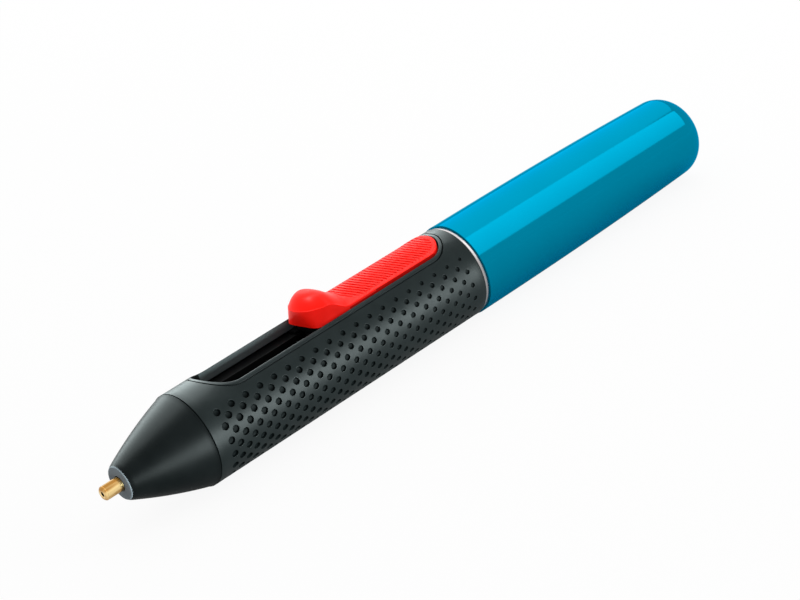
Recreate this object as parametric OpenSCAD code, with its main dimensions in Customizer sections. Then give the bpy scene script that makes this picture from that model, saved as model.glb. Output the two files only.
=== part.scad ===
// Pen-shaped cordless glue gun, lying on its side with the feed slot up.
// Millimetres. X runs from the nozzle (-X) to the battery end (+X), Z is up.
// All pieces are drawn along the pen's axis, with x = 0 at the seam between nose and grip,
// and place() then puts the finished part over its origin.

/* [Grip] */
// Outer radius of the grip
grip_r = 12; // [11.9:0.1:13]
// Length of the grip
grip_len = 85.5; // [84:0.5:95]
// Wall of the grip
grip_wall = 1.6; // [1.3:0.1:1.7]
// Depth of the flat along the underside, which keeps the pen from rolling
flat_depth = 0.15; // [0.1:0.05:0.25]

/* [Nose and nozzle] */
// Length of the nose cone
nose_len = 19.9; // [19:0.1:24]
// Outer radius of the nose cone's flat front face
nose_face_r = 4.3; // [4:0.1:5]
// How far the nose cone bulges beyond a straight cone
nose_bulge = 0.5; // [0.3:0.1:1]
// Wall of the nose cone
nose_wall = 1.4; // [1:0.1:1.5]
// Length of nozzle that stands out of the nose cone
tip_len = 4.9; // [3:0.1:8]
// Outer radius of the nozzle
tip_r = 1.75; // [1.5:0.05:2]
// Radius of the outlet
outlet_r = 0.5; // [0.3:0.05:0.8]

/* [Glue stick path] */
// Radius of the bore that takes the glue stick
stick_bore_r = 3.75; // [3.6:0.05:3.85]
// Length of the inlet bore behind the melting tube
inlet_len = 6; // [4:0.5:6]
// Outer radius of the melting tube
melt_r = 5; // [4.8:0.1:5.2]

/* [Slot and slider] */
// Half width of the feed slot
slot_w = 7.3; // [6.9:0.1:7.4]
// Solid grip in front of the slot
slot_front = 7.4; // [7:0.1:9]
// Solid grip behind the slot
slot_rear = 3.75; // [3.5:0.05:5]
// Width of the bezel around the slot
bezel_w = 1.1; // [0.8:0.1:1.1]
// Height above the axis of the ledge that the slider runs on
ledge_z = 6.2; // [6.1:0.1:6.4]
// Open length of slot in front of the thumb block
load_len = 31.1; // [27:0.1:34]
// Gap between the slider and the edge of the slot
slider_gap = 0.4; // [0.3:0.05:0.6]
// Height of the thumb block's crown above the axis
crown_z = 16.4; // [15:0.1:19]
// Height of the edge around the crown above the axis
crown_edge_z = 13; // [12.6:0.1:14.5]
// Length of the thumb block along the pen
block_len = 12; // [11:0.5:16]
// Distance between ridges on the slider's pad
ridge_pitch = 1.1; // [0.9:0.1:2]

/* [Battery end] */
// Length of the silver ring
ring_w = 1.1; // [0.8:0.1:2]
// Depth of the silver ring below the grip's surface
ring_sink = 0.25; // [0.1:0.05:0.5]
// Length of the pull-off battery sleeve
sleeve_len = 85; // [84:0.5:95]
// How far the sleeve's open end stands proud of the grip
sleeve_step = 0.2; // [0.1:0.1:1]
// How much the sleeve's radius shrinks towards its closed end
sleeve_taper = 1.3; // [0.4:0.1:1.4]
// Wall of the sleeve
sleeve_wall = 1.2; // [1:0.1:1.4]
// Length of the rounding at the sleeve's closed end
sleeve_round = 7.4; // [6.5:0.1:7.6]
// Radius of one AA cell
cell_r = 7.25; // [7:0.05:7.25]
// Length of one AA cell
cell_len = 50.5; // [49.5:0.1:50.5]

/* [Electronics] */
// Distance from the seam to the power button's centre
button_at = 30; // [26:1:34]
// Radius of the power button
button_r = 3.4; // [3:0.1:3.8]
// Thickness of the circuit board
board_t = 1; // [0.8:0.1:1.2]

/* [Hidden] */

$fn = 96;
eps = 0.01;

// Clearances and small walls
chassis_gap = 0.3;
fit_gap = 0.1;
seat_gap = 0.05;
rail_gap = 0.6;
flange_t = 0.4;
cell_gap = 0.2;
pull_gap = 0.3;
edge_r = 0.4;

// Stations along the pen
x_face = -nose_len;
x_tip = -nose_len - tip_len;
x_slot0 = slot_front;
x_slot1 = grip_len - slot_rear;
x_ring = grip_len;
x_sleeve = grip_len + ring_w;
x_end = x_sleeve + sleeve_len;
x_mid = (x_tip + x_end) / 2;

// Radii shared by the shells and the frame inside them, and the plane that the pen lies on
rest_z = -(grip_r - flat_depth);
shell_bore = grip_r - grip_wall;
chassis_r = shell_bore - chassis_gap;
sleeve_r = grip_r + sleeve_step;
sleeve_bore = sleeve_r - sleeve_wall;
spigot_len = 3;
spigot_r = shell_bore - fit_gap;
spigot_wall = 0.9;

// Nose cone
nose_r = grip_r;
nose_front_wall = 1.5;
nose_shoulder = 1.6;
nose_edge_r = 0.35;

// Glue stick path, on the pen's axis
inlet_x0 = spigot_len + 0.2;
inlet_x1 = inlet_x0 + inlet_len;
inlet_r = 8;
seal_len = 3;
melt_x1 = inlet_x0 - seal_len;
melt_x0 = x_face + 6.9;
melt_neck_r = 3.2;
melt_neck_len = 3;
melt_flange_t = 1;
funnel_len = 4;
tip_base_r = tip_r + 0.45;
tip_base_out = 0.3;
tip_chamfer = 0.35;
tip_seat_x = melt_x0 + 3;
tip_seal_r = tip_base_r + 0.5;
tip_seal_len = 1.3;
shield_r = 7;
shield_t = 0.3;
shield_x0 = melt_x1 - 7.2;
melt_flange_r = shield_r - fit_gap;

// Heaters on two flats of the melting tube, held by a spring clip
heater_seat = melt_r - 0.3;
heater_t = 1.3;
heater_w = 2;
heater_x1 = melt_x1 - 3.2;
heater_x0 = heater_x1 - 6;
flat_gap = 0.5;
clip_t = 0.25;
clip_inset = 1;
clip_r = norm([heater_seat + heater_t, heater_w]) + seat_gap;

// Trough that the stick lies in, and the deck behind it
slot_front_r = slot_w - seat_gap;
slot_rear_r = slot_w - 1.3;
channel_w = stick_bore_r + 0.15;
channel_wall = 1.4;
channel_floor = channel_w;
floor_t = 1.2;
deck_z = ledge_z - 0.9;
deck_w = 7.9;
deck_rail_w = 3;
bezel_z = ledge_z + rail_gap;
deck_end = grip_len - 1.5;

// Slider
slider_w = slot_w - slider_gap;
slider_front = x_slot0 + load_len;
slider_rear = x_slot1 - slider_gap;
slider_front_r = 4;
slider_rear_r = slot_rear_r - slider_gap;
carriage_front = slider_front + 0.9;
carriage_rear = slider_rear - 1.4;
carriage_top = ledge_z + 2.8;
carriage_w = slider_w - 0.3;
carriage_front_r = carriage_w - 1.1;
screw_sink = 0.5;
flange_w = sqrt(pow(shell_bore - fit_gap, 2) - pow(ledge_z + fit_gap + flange_t, 2));
pusher_r = stick_bore_r - 0.35;
pusher_front = slider_front - 0.5;
pusher_len = 2.8;
web_w = 1.2;
web_drop = 2;
web_front = pusher_front + 2.1;
web_rear = web_front + 2.6;
channel_end = web_rear + 0.6;
pad_r = grip_r + 0.3;
pad_front = slider_front + block_len;
recess_gap = 0.7;
recess_end_gap = 1.1;
recess_depth = 0.45;
recess_w = slider_w - recess_gap;
recess_front_r = recess_w - 1;
recess_front = pad_front - 1;
recess_rear = slider_rear - recess_end_gap;
ridge_t = 0.5;
ridge_bow = 7;
ridge_sink = 0.1;

// Cells, in line, and the tray that holds them
cell_z = ledge_z + 0.65 - cell_r;
cell_x1 = x_end - sleeve_round - 2.1;
cell_x0 = cell_x1 - 2 * cell_len;
nub_len = 1;
nub_r = 2.75;
spring_len = 2.3;
spring_wire_r = 0.3;
spring_r = 5.5;
spring_tip_r = 3;
plate_t = 0.3;
bulkhead_t = 1.3;
tray_r = cell_r + 1.65;
tray_bore = cell_r + cell_gap;
tray_x0 = cell_x0 - plate_t - bulkhead_t;
tray_x1 = cell_x1 + spring_len + plate_t + bulkhead_t;
tray_side_z = 3;
tray_end_step = 0.6;
collar_r = sleeve_bore - pull_gap;
collar_len = 6.4;
collar_x0 = deck_end + 0.3;
groove_x = x_sleeve + 3.4;
ring_cord = 0.6;
groove_depth = 0.4;
strip_w = 2.4;
sleeve_end_wall = sleeve_wall + 0.3;
sleeve_end_r = 8;

// Circuit board on edge supports below the trough
board_top = -channel_floor - floor_t - 0.9;
board_bot = board_top - board_t;
board_w = 4.8;
board_x0 = 13;
board_x1 = tray_x0 - 1.5;
frame_wall = 1.1;
frame_top = -1.2;
frame_x1 = tray_x0 - 0.5;
frame_fill_r = chassis_r - 0.5;
frame_post_drop = 3.4;
board_shelf = 0.6;
saddle_gap = 0.8;
saddle_len = 3;
screw_y = 7.1;
post_r = 1.7;
screw_r = 0.8;
screw_head_r = 1.15;
screw_xs = [inlet_x1 + 3.8, board_x1 - 3];
button_hole = button_r + 0.35;
button_face = rest_z + 0.15;
button_travel = 0.5;
button_ear = 0.9;
button_ear_w = 1.5;
button_ear_t = 0.4;
plunger_r = 1.2;
switch_w = 1.7;
guide_x = button_at - 8;
guide_r = 1.1;
usb_x = board_x1 - 7;
usb_w = 7.5;
usb_t = 2.7;
usb_shell = 0.3;
usb_tongue_w = 4.9;
usb_mouth = -(chassis_r + 0.8);

// What the circuit board carries: a capacitor and a coil behind the trough, a chip and a lamp below
capacitor_r = 2.5;
capacitor_h = 6;
capacitor_x = channel_end + channel_wall + 0.7 + capacitor_r;
capacitor_y = -2;
coil_len = 4.5;
coil_w = 4;
coil_h = 3;
chip_len = 4;
chip_t = 0.85;
lamp_w = 1.6;
lamp_t = 0.8;

hump_bore = cell_r + 0.15;
hump_r = cell_r + 0.5;
hump_top = cell_z + hump_r;
boss_z = frame_top + 0.4;
thread_len = 4.2;
head_t = 1;
slider_head_t = 0.7;
screw_seat = board_top + 1.8;
front_lean = 0.4;
crown_apex = slider_front + 4.5;
crown_r = (pow(slider_w, 2) + pow(crown_z - crown_edge_z, 2)) / (2 * (crown_z - crown_edge_z));
skirt_y = 4.5;
slider_screw_xs = [slider_front + 7, slider_rear - 12];
slider_thread_z = carriage_top + 2;
strip_z = -tray_r;
usb_gap = 0.6;
switch_z = board_bot - 0.55;
ear_top = -(chassis_r - frame_wall - 0.7);

// Leads from the board to the heaters and to the cells
lead_r = 0.4;
lead_gap = 0.15;
lead_y = 4.4;
lead_z = -7.27;
lead_rise_x = melt_x1 - 1.9;
lead_pad_y = board_w - 1.2;
lead_under = board_bot - lead_r - seat_gap;
heater_lead_y = heater_seat + heater_t / 2;
battery_lead_y = 2;
lead_lap = 3;

// A circular arc as a list of points
function arc(cx, cy, r, a0, a1, n = 10) =
  [for (i = [0:n]) let (a = a0 + (a1 - a0) * i / n) [cx + r * cos(a), cy + r * sin(a)]];

// Long rounded outline seen from above, with corner radii rf in front and rr behind
function outline(x0, x1, w, rf, rr) = concat(
  arc(x0 + rf, -(w - rf), rf, 180, 270),
  arc(x1 - rr, -(w - rr), rr, 270, 360),
  arc(x1 - rr, w - rr, rr, 0, 90),
  arc(x0 + rf, w - rf, rf, 90, 180)
);

// Outer radius of the nose cone at a share t of its length, from its face to the seam
function nose_radius(t) =
  nose_face_r + (nose_r - nose_face_r) * t + 4 * nose_bulge * t * (1 - t);

// Side line of the battery sleeve from its open end to the middle of its closed end
function sleeve_line(r0, len, round_r, n = 14) = concat(
  [for (i = [0:n]) let (t = i / n)
    [r0 - sleeve_taper * pow(t, 2.3), x_sleeve + t * (len - sleeve_round)]],
  [for (i = [1:n - 1]) let (a = 90 * i / n)
    [r0 - sleeve_taper - round_r * (1 - cos(a)), x_sleeve + len - sleeve_round * (1 - sin(a))]],
  [[r0 - sleeve_taper - round_r, x_sleeve + len]]
);

module place() translate([-x_mid, 0, -rest_z]) children();

// What lies below the flat along the underside
module below_flat() block(x_tip, x_end, grip_r + 1, -2 * grip_r, rest_z);

module turned(points) rotate([0, 90, 0]) rotate_extrude() polygon(points);

module rod(x0, x1, r) translate([x0, 0, 0]) rotate([0, 90, 0]) cylinder(h = x1 - x0, r = r);

module tube(x0, x1, r, bore) difference() {
  rod(x0, x1, r);
  rod(x0 - 1, x1 + 1, bore);
}

module block(x0, x1, w, z0, z1) translate([x0, -w, z0]) cube([x1 - x0, 2 * w, z1 - z0]);

module post(x, y, z0, z1, r) translate([x, y, z0]) cylinder(h = z1 - z0, r = r, $fn = 48);

module prism(points, z0, z1) translate([0, 0, z0]) linear_extrude(z1 - z0) polygon(points);

module both_sides() {
  children();
  mirror([0, 1, 0]) children();
}

// A wire of radius r through a list of points, as one eight-sided tube
function unit(v) = v / norm(v);
module wire(points, r) {
  sides = 8;
  last = len(points) - 1;
  skew = [0, 1, 0.35];
  rings = [for (i = [0:last]) let (
      back = points[min(i, last - 1) + 1] - points[min(i, last - 1)],
      ahead = points[max(i, 1)] - points[max(i, 1) - 1],
      along = unit(unit(back) + unit(ahead)),
      across = unit(cross(along, skew)),
      up = cross(along, across))
    [for (j = [0:sides - 1]) let (a = 360 * j / sides)
      points[i] + r * (across * cos(a) + up * sin(a))]];
  tube_mesh(rings, sides);
}

// The closed skin around a row of rings
module tube_mesh(rings, sides) polyhedron(
  points = [for (ring = rings) for (p = ring) p],
  faces = concat(
    [[for (j = [0:sides - 1]) j]],
    [[for (j = [0:sides - 1]) len(rings) * sides - 1 - j]],
    [for (i = [0:len(rings) - 2]) for (j = [0:sides - 1]) let (k = (j + 1) % sides)
      [i * sides + j, (i + 1) * sides + j, (i + 1) * sides + k, i * sides + k]]
  )
);

function slot_outline(grow) =
  outline(x_slot0 - grow, x_slot1 + grow, slot_w + grow, slot_front_r + grow, slot_rear_r + grow);

module nozzle_tip() color("#d9a860") place() {
  base_x = x_face - tip_base_out;
  difference() {
    turned([
      [0, x_tip], [tip_r - tip_chamfer, x_tip], [tip_r, x_tip + tip_chamfer], [tip_r, base_x],
      [tip_base_r, base_x], [tip_base_r, tip_seat_x], [0, tip_seat_x]
    ]);
    rod(x_tip - 1, tip_seat_x + 1, outlet_r);
  }
}

module tip_seal() color("#2a2a2a") place()
  tube(x_face + fit_gap, x_face + fit_gap + tip_seal_len, tip_seal_r, tip_base_r + seat_gap);

module nose_cone() color("#26282a") place() {
  n = 14;
  hollow = nose_len - nose_front_wall - nose_shoulder;
  outer = [for (i = [1:n - 1]) let (t = i / n) [nose_radius(t), x_face + t * nose_len]];
  inner = [for (i = [0:n]) let (x = nose_front_wall + hollow * i / n)
    [nose_radius(x / nose_len) - nose_wall, x_face + x]];
  difference() {
    union() {
      turned(concat(
        [[0, x_face], [nose_face_r - nose_edge_r, x_face], [nose_face_r, x_face + nose_edge_r]],
        outer,
        [[nose_r, 0], [0, 0]]
      ));
      rod(-nose_shoulder / 2, spigot_len, spigot_r);
    }
    turned(concat([[0, x_face + nose_front_wall]], inner, [[0, -nose_shoulder]]));
    rod(-nose_shoulder - eps, spigot_len + 1, spigot_r - spigot_wall);
    rod(x_face - 1, x_face + nose_front_wall + 1, tip_seal_r + seat_gap);
    below_flat();
  }
}

module melt_tube() color("#b9bcc0") place() difference() {
  union() {
    turned([
      [0, melt_x0], [melt_neck_r, melt_x0], [melt_r, melt_x0 + melt_neck_len],
      [melt_r, melt_x1], [0, melt_x1]
    ]);
    rod(melt_x1 - melt_flange_t, melt_x1, melt_flange_r);
  }
  turned([
    [0, tip_seat_x], [outlet_r, tip_seat_x], [stick_bore_r, tip_seat_x + funnel_len],
    [stick_bore_r, melt_x1 + 1], [0, melt_x1 + 1]
  ]);
  rod(melt_x0 - 1, tip_seat_x + eps, tip_base_r + seat_gap);
  both_sides() translate([heater_x0 - flat_gap, heater_seat, -heater_w - 2 * flat_gap])
    cube([heater_x1 - heater_x0 + 2 * flat_gap, melt_r, 2 * (heater_w + 2 * flat_gap)]);
}

module ptc_heaters() color("#8d8f93") place() both_sides()
  translate([heater_x0, heater_seat, -heater_w])
    cube([heater_x1 - heater_x0, heater_t, 2 * heater_w]);

module heater_clip() color("#a7abb0") place()
  tube(heater_x0 + clip_inset, heater_x1 - clip_inset, clip_r + clip_t, clip_r);

module heat_shield() color("#c9b48a") place() difference() {
  tube(shield_x0, inlet_x0, shield_r + shield_t, shield_r);
  block(lead_rise_x - lead_r - fit_gap, melt_x1 + lead_r, lead_y - lead_r, -grip_r, -lead_y + lead_r);
}

module stick_seal() color("#b5402c") place()
  tube(melt_x1, inlet_x0, shield_r - 0.4, stick_bore_r);

module grip_shell() color("#3a3d40") place() difference() {
  turned([
    [shell_bore, 0], [grip_r - edge_r / 2, 0], [grip_r, edge_r / 2],
    [grip_r, grip_len - edge_r], [grip_r - edge_r, grip_len], [shell_bore, grip_len]
  ]);
  prism(slot_outline(bezel_w), 0, grip_r + 1);
  post(button_at, 0, -grip_r - 1, 0, button_hole);
  post(guide_x, 0, -grip_r - 1, 0, guide_r + fit_gap);
  usb_hole();
  below_flat();
}

module slot_bezel() color("#2e3133") place() intersection() {
  difference() {
    prism(slot_outline(bezel_w - seat_gap), bezel_z, grip_r + 1);
    prism(slot_outline(0), bezel_z - 1, grip_r + 2);
    translate([0, 0, cell_z]) rod(x_slot1 - slot_w, grip_len, hump_r + seat_gap);
  }
  rod(0, grip_len, grip_r);
}

module feed_trough() color("#17181a") place() difference() {
  intersection() {
    union() {
      rod(inlet_x0, x_slot0 - seat_gap, inlet_r);
      block(x_slot0 - 1, channel_end + channel_wall, channel_w + channel_wall,
        -channel_floor - floor_t, ledge_z);
      difference() {
        block(x_slot0 - 1, deck_end, deck_w, deck_z, ledge_z);
        translate([0, 0, cell_z]) rod(channel_end + channel_wall, deck_end + 1, hump_bore);
      }
      intersection() {
        translate([0, 0, cell_z]) tube(channel_end + 1, deck_end, hump_r, hump_bore);
        block(channel_end, deck_end + 1, deck_w, deck_z, grip_r);
      }
      both_sides() translate([x_slot1 + seat_gap, deck_w - deck_rail_w, deck_z])
        cube([deck_end - x_slot1 - seat_gap, deck_rail_w, bezel_z - deck_z]);
      for (x = screw_xs) both_sides() post(x, screw_y, boss_z, ledge_z - eps, post_r);
    }
    rod(0, grip_len, chassis_r);
    block(0, grip_len, grip_r, -grip_r, hump_top);
  }
  block(0, x_slot0 + 1, grip_r, bezel_z, grip_r);
  rod(inlet_x0 - 1, inlet_x1 + 1, stick_bore_r);
  block(inlet_x1, channel_end, channel_w, -channel_floor, grip_r);
  for (x = screw_xs) both_sides()
    post(x, screw_y, boss_z - 1, boss_z + thread_len + chassis_gap, screw_r + seat_gap);
}

module lower_frame() color("#1d1f21") place() difference() {
  union() {
    intersection() {
      union() {
        tube(inlet_x0, frame_x1, chassis_r, chassis_r - frame_wall);
        tube(inlet_x0 + saddle_gap, inlet_x0 + saddle_gap + saddle_len, frame_fill_r, inlet_r + seat_gap);
        difference() {
          rod(board_x0, board_x1, frame_fill_r);
          block(board_x0 - 1, board_x1 + 1, board_w - board_shelf, -grip_r, grip_r);
          block(board_x0 - 1, board_x1 + 1, grip_r, board_bot - seat_gap, grip_r);
        }
      }
      block(0, grip_len, grip_r, -grip_r, frame_top);
    }
    intersection() {
      rod(0, grip_len, chassis_r);
      for (x = screw_xs) both_sides()
        post(x, screw_y, screw_seat - frame_post_drop, boss_z - seat_gap, post_r);
    }
  }
  for (x = screw_xs) both_sides() {
    post(x, screw_y, -grip_r, 0, screw_r + fit_gap);
    post(x, screw_y, -grip_r, screw_seat, screw_head_r + fit_gap);
  }
  both_sides() translate([0, lead_y, lead_z]) rod(inlet_x0 - 1, board_x0, lead_r + lead_gap);
  post(button_at, 0, -grip_r, board_bot, button_hole);
  post(guide_x, 0, -grip_r, board_bot, guide_r + fit_gap);
  usb_hole();
}

module usb_hole() block(usb_x - usb_w / 2 - usb_gap, usb_x + usb_w / 2 + usb_gap,
  usb_t / 2 + usb_gap, -grip_r - 1, board_bot);

module frame_screws() color("#9a9da1") place() for (x = screw_xs) both_sides() {
  post(x, screw_y, screw_seat - head_t, screw_seat, screw_head_r);
  post(x, screw_y, screw_seat - eps, boss_z + thread_len, screw_r);
}

// Side view of the thumb block: a front that leans out, a round crown and a hollow slope to the pad
function crown_line(n = 12) = concat(
  [[slider_front + front_lean, carriage_top - 1]],
  [for (i = [0:n]) let (s = i / n) [slider_front + (crown_apex - slider_front) * s,
    crown_edge_z + (crown_z - crown_edge_z) * sqrt(1 - pow(1 - s, 2))]],
  [for (i = [1:n]) let (s = i / n) [crown_apex + (pad_front - crown_apex) * s,
    pad_r + (crown_z - pad_r) * (0.5 + 0.5 * cos(180 * s))]],
  [[pad_front, carriage_top - 1]]
);

module slider_cap() color("#f01810") place() difference() {
  union() {
    intersection() {
      prism(outline(slider_front + front_lean, slider_rear, slider_w, slider_front_r, slider_rear_r),
        carriage_top + seat_gap, grip_r + 1);
      rod(slider_front - 1, slider_rear + 1, pad_r);
      difference() {
        block(slider_front - 1, slider_rear + 1, grip_r, 0, grip_r + 1);
        difference() {
          prism(outline(recess_front, recess_rear, recess_w, recess_front_r, slider_rear_r - recess_gap),
            0, grip_r + 1);
          rod(recess_front - 1, recess_rear + 1, pad_r - recess_depth);
          ridges();
        }
      }
    }
    intersection() {
      prism(outline(slider_front, pad_front, slider_w - eps, slider_front_r, edge_r),
        carriage_top + seat_gap, crown_z + 1);
      translate([0, grip_r, 0]) rotate([90, 0, 0]) linear_extrude(2 * grip_r) polygon(crown_line());
      translate([0, 0, crown_z - crown_r]) rod(slider_front - 1, pad_front + 1, crown_r);
    }
  }
  for (x = slider_screw_xs)
    post(x, 0, carriage_top - 1, slider_thread_z + fit_gap, screw_r + seat_gap);
}

// Curved ridges that bow towards the nozzle
module ridges() intersection() {
  for (x = [recess_front + ridge_pitch:ridge_pitch:recess_rear - ridge_pitch / 2])
    translate([x + ridge_bow, 0, 0]) linear_extrude(grip_r + 1) difference() {
      circle(r = ridge_bow + ridge_t / 2);
      circle(r = ridge_bow - ridge_t / 2);
      translate([-ridge_bow * 0.3, -2 * ridge_bow]) square(4 * ridge_bow);
    }
  rod(recess_front - 1, recess_rear + 1, pad_r - ridge_sink);
}

module slider_carriage() color("#141516") place() difference() {
  union() {
    difference() {
      prism(outline(carriage_front, carriage_rear, carriage_w, carriage_front_r,
        carriage_w - seat_gap), ledge_z + fit_gap, carriage_top);
      block(carriage_front - 1, carriage_rear + 1, skirt_y, 0, hump_top + pull_gap);
    }
    both_sides() translate([carriage_front, skirt_y, ledge_z + fit_gap])
      cube([carriage_rear - carriage_front, flange_w - skirt_y, flange_t]);
    block(web_front, web_rear, web_w, -web_drop, carriage_top - screw_sink);
    rod(pusher_front, pusher_front + pusher_len, pusher_r);
  }
  for (x = slider_screw_xs) {
    post(x, 0, hump_top, carriage_top + 1, screw_r + fit_gap);
    post(x, 0, hump_top, carriage_top - screw_sink, screw_head_r + 2 * fit_gap);
  }
}

module slider_screws() color("#9a9da1") place() for (x = slider_screw_xs) {
  seat = carriage_top - screw_sink;
  post(x, 0, seat - slider_head_t, seat, screw_head_r);
  post(x, 0, seat - eps, slider_thread_z, screw_r);
}

module silver_ring() color("#c9c6c6") place()
  tube(x_ring + seat_gap, x_sleeve - seat_gap, grip_r - ring_sink, spigot_r + seat_gap);

module battery_sleeve() color("#0096c3") place() {
  inner_len = sleeve_len - sleeve_end_wall;
  outer = sleeve_line(sleeve_r, sleeve_len, sleeve_end_r);
  inner = sleeve_line(sleeve_bore, inner_len, sleeve_end_r - sleeve_wall);
  difference() {
    turned(concat([[0, x_sleeve]], outer, [[0, x_end]]));
    turned(concat([[0, x_sleeve - 1], [sleeve_bore, x_sleeve - 1]], inner,
      [[0, x_sleeve + inner_len]]));
    below_flat();
  }
}

module sleeve_seal() color("#222222") place()
  translate([groove_x, 0, 0]) rotate([0, 90, 0]) rotate_extrude()
    translate([collar_r - groove_depth, 0]) circle(r = ring_cord, $fn = 32);

module battery_tray() color("#2b2d30") place() difference() {
  union() {
    intersection() {
      union() {
        difference() {
          rod(tray_x0, tray_x1 - bulkhead_t, tray_r);
          block(tray_x0 - 1, tray_x1, grip_r, tray_side_z, grip_r);
        }
        rod(tray_x0, tray_x0 + bulkhead_t, tray_r);
        rod(tray_x1 - bulkhead_t - eps, tray_x1, tray_r - tray_end_step);
      }
      block(tray_x0 - 1, tray_x1 + 1, grip_r, -grip_r, deck_z - chassis_gap);
    }
    rod(collar_x0, x_sleeve, spigot_r);
    rod(x_sleeve - eps, x_sleeve + collar_len, collar_r);
  }
  translate([0, 0, cell_z]) rod(tray_x0 + bulkhead_t, tray_x1 - bulkhead_t, tray_bore);
  tube(groove_x - ring_cord - fit_gap, groove_x + ring_cord + fit_gap, collar_r + 1,
    collar_r - groove_depth - ring_cord - seat_gap);
  block(tray_x0 - 1, tray_x1 - bulkhead_t, strip_w / 2 + fit_gap, -grip_r, strip_z + plate_t + seat_gap);
  block(tray_x1 - bulkhead_t - plate_t - seat_gap, tray_x1 - bulkhead_t, strip_w / 2 + fit_gap,
    -grip_r, cell_z);
}

module cell(x0) translate([0, 0, cell_z]) {
  rod(x0 + nub_len, x0 + cell_len, cell_r);
  rod(x0, x0 + nub_len + eps, nub_r);
}

module cell_front() color("#c8ccd0") place() cell(cell_x0);

module cell_rear() color("#c8ccd0") place() cell(cell_x0 + cell_len);

module front_contact() color("#d8d2b8") place()
  translate([0, 0, cell_z]) rod(cell_x0 - plate_t, cell_x0, cell_r - 2);

module rear_contact() color("#d8d2b8") place() {
  x1 = tray_x1 - bulkhead_t;
  translate([0, 0, cell_z]) rod(x1 - plate_t, x1, cell_r - 0.5);
  block(x1 - plate_t, x1, strip_w / 2, strip_z + plate_t, cell_z);
}

// Conical coil between the rear cell and its contact
module battery_spring() color("#b9bcc0") place() translate([0, 0, cell_z]) {
  turns = 2.5;
  steps = 40;
  sides = 8;
  x0 = cell_x1 + spring_wire_r;
  x1 = tray_x1 - bulkhead_t - plate_t - spring_wire_r;
  rings = [for (i = [0:steps])
    let (t = i / steps, a = 360 * turns * t, r = spring_tip_r + (spring_r - spring_tip_r) * t)
    [for (j = [0:sides - 1]) let (b = 360 * j / sides, q = r + spring_wire_r * cos(b))
      [x0 + (x1 - x0) * t + spring_wire_r * sin(b), q * cos(a), q * sin(a)]]];
  tube_mesh(rings, sides);
}

module return_strip() color("#d8d2b8") place()
  block(tray_x0, tray_x1 - bulkhead_t - plate_t - fit_gap, strip_w / 2, strip_z, strip_z + plate_t);

module circuit_board() color("#1f6b3a") place()
  block(board_x0, board_x1, board_w, board_bot, board_top);

module board_parts() color("#2c2c2e") place() {
  top = board_top + seat_gap;
  post(capacitor_x, capacitor_y, top, top + capacitor_h, capacitor_r);
  translate([capacitor_x - coil_len / 2, capacitor_y + capacitor_r + 2 * seat_gap, top])
    cube([coil_len, coil_w, coil_h]);
  translate([(board_x0 + guide_x - chip_len) / 2, -chip_len / 2, board_bot - seat_gap - chip_t])
    cube([chip_len, chip_len, chip_t]);
  translate([guide_x - lamp_w / 2, -lamp_w / 2, board_bot - seat_gap - lamp_t])
    cube([lamp_w, lamp_w, lamp_t]);
}

module usb_socket() color("#b9bcc0") place() {
  half = usb_w / 2;
  bottom = board_bot - 1;
  difference() {
    block(usb_x - half, usb_x + half, usb_t / 2, usb_mouth, board_bot - seat_gap);
    block(usb_x - half + usb_shell, usb_x + half - usb_shell, usb_t / 2 - usb_shell,
      usb_mouth - 1, bottom);
  }
  block(usb_x - usb_tongue_w / 2, usb_x + usb_tongue_w / 2, usb_shell, usb_mouth + 0.5, bottom + eps);
}

module touch_switch() color("#3a3a3c") place()
  block(button_at - switch_w, button_at + switch_w, switch_w, switch_z, board_bot - seat_gap);

module power_button() color("#f01810") place() {
  post(button_at, 0, button_face, ear_top, button_r);
  block(button_at - button_r - button_ear, button_at + button_r + button_ear, button_ear_w,
    ear_top - button_ear_t, ear_top);
  post(button_at, 0, ear_top - eps, switch_z - button_travel - fit_gap, plunger_r);
}

module light_guide() color("#e8f2e8") place()
  post(guide_x, 0, rest_z + fit_gap, board_bot - lamp_t - 2 * seat_gap, guide_r);

module heater_leads() color("#c23b2e") place() for (side = [-1, 1]) wire([
  [board_x0 + 1.5, side * lead_pad_y, lead_under],
  [board_x0 - 2, side * lead_pad_y, lead_under],
  [inlet_x1 + 0.6, side * lead_y, lead_z],
  [lead_rise_x, side * lead_y, lead_z],
  [lead_rise_x, side * 3, -5.6],
  [heater_x1 + 0.4, side * 4.95, -3.4],
  [heater_x1 + 0.5, side * heater_lead_y, -1.6],
  [heater_x1 + seat_gap, side * heater_lead_y, -1.6]
], lead_r);

module battery_leads() color("#222222") place() for (side = [-1, 1]) wire([
  [tray_x0 - seat_gap, side * battery_lead_y, lead_under],
  [board_x1 - lead_lap, side * battery_lead_y, lead_under]
], lead_r);

nozzle_tip();
tip_seal();
nose_cone();
melt_tube();
ptc_heaters();
heater_clip();
heat_shield();
stick_seal();
grip_shell();
slot_bezel();
feed_trough();
lower_frame();
frame_screws();
slider_cap();
slider_carriage();
slider_screws();
silver_ring();
battery_sleeve();
sleeve_seal();
battery_tray();
cell_front();
cell_rear();
front_contact();
rear_contact();
battery_spring();
return_strip();
circuit_board();
board_parts();
usb_socket();
touch_switch();
power_button();
light_guide();
heater_leads();
battery_leads();
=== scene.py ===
"""Looks of a pen-shaped cordless glue gun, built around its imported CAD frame.

Shapes are drawn in millimetres along the pen's axis, with x = 0 at the seam between nose and grip
and z = 0 on the axis. Piece.build() moves them into the frame, in metres.
"""

import math

import bmesh
import bpy
from mathutils import Matrix, Vector
from mathutils.geometry import delaunay_2d_cdt

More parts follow.
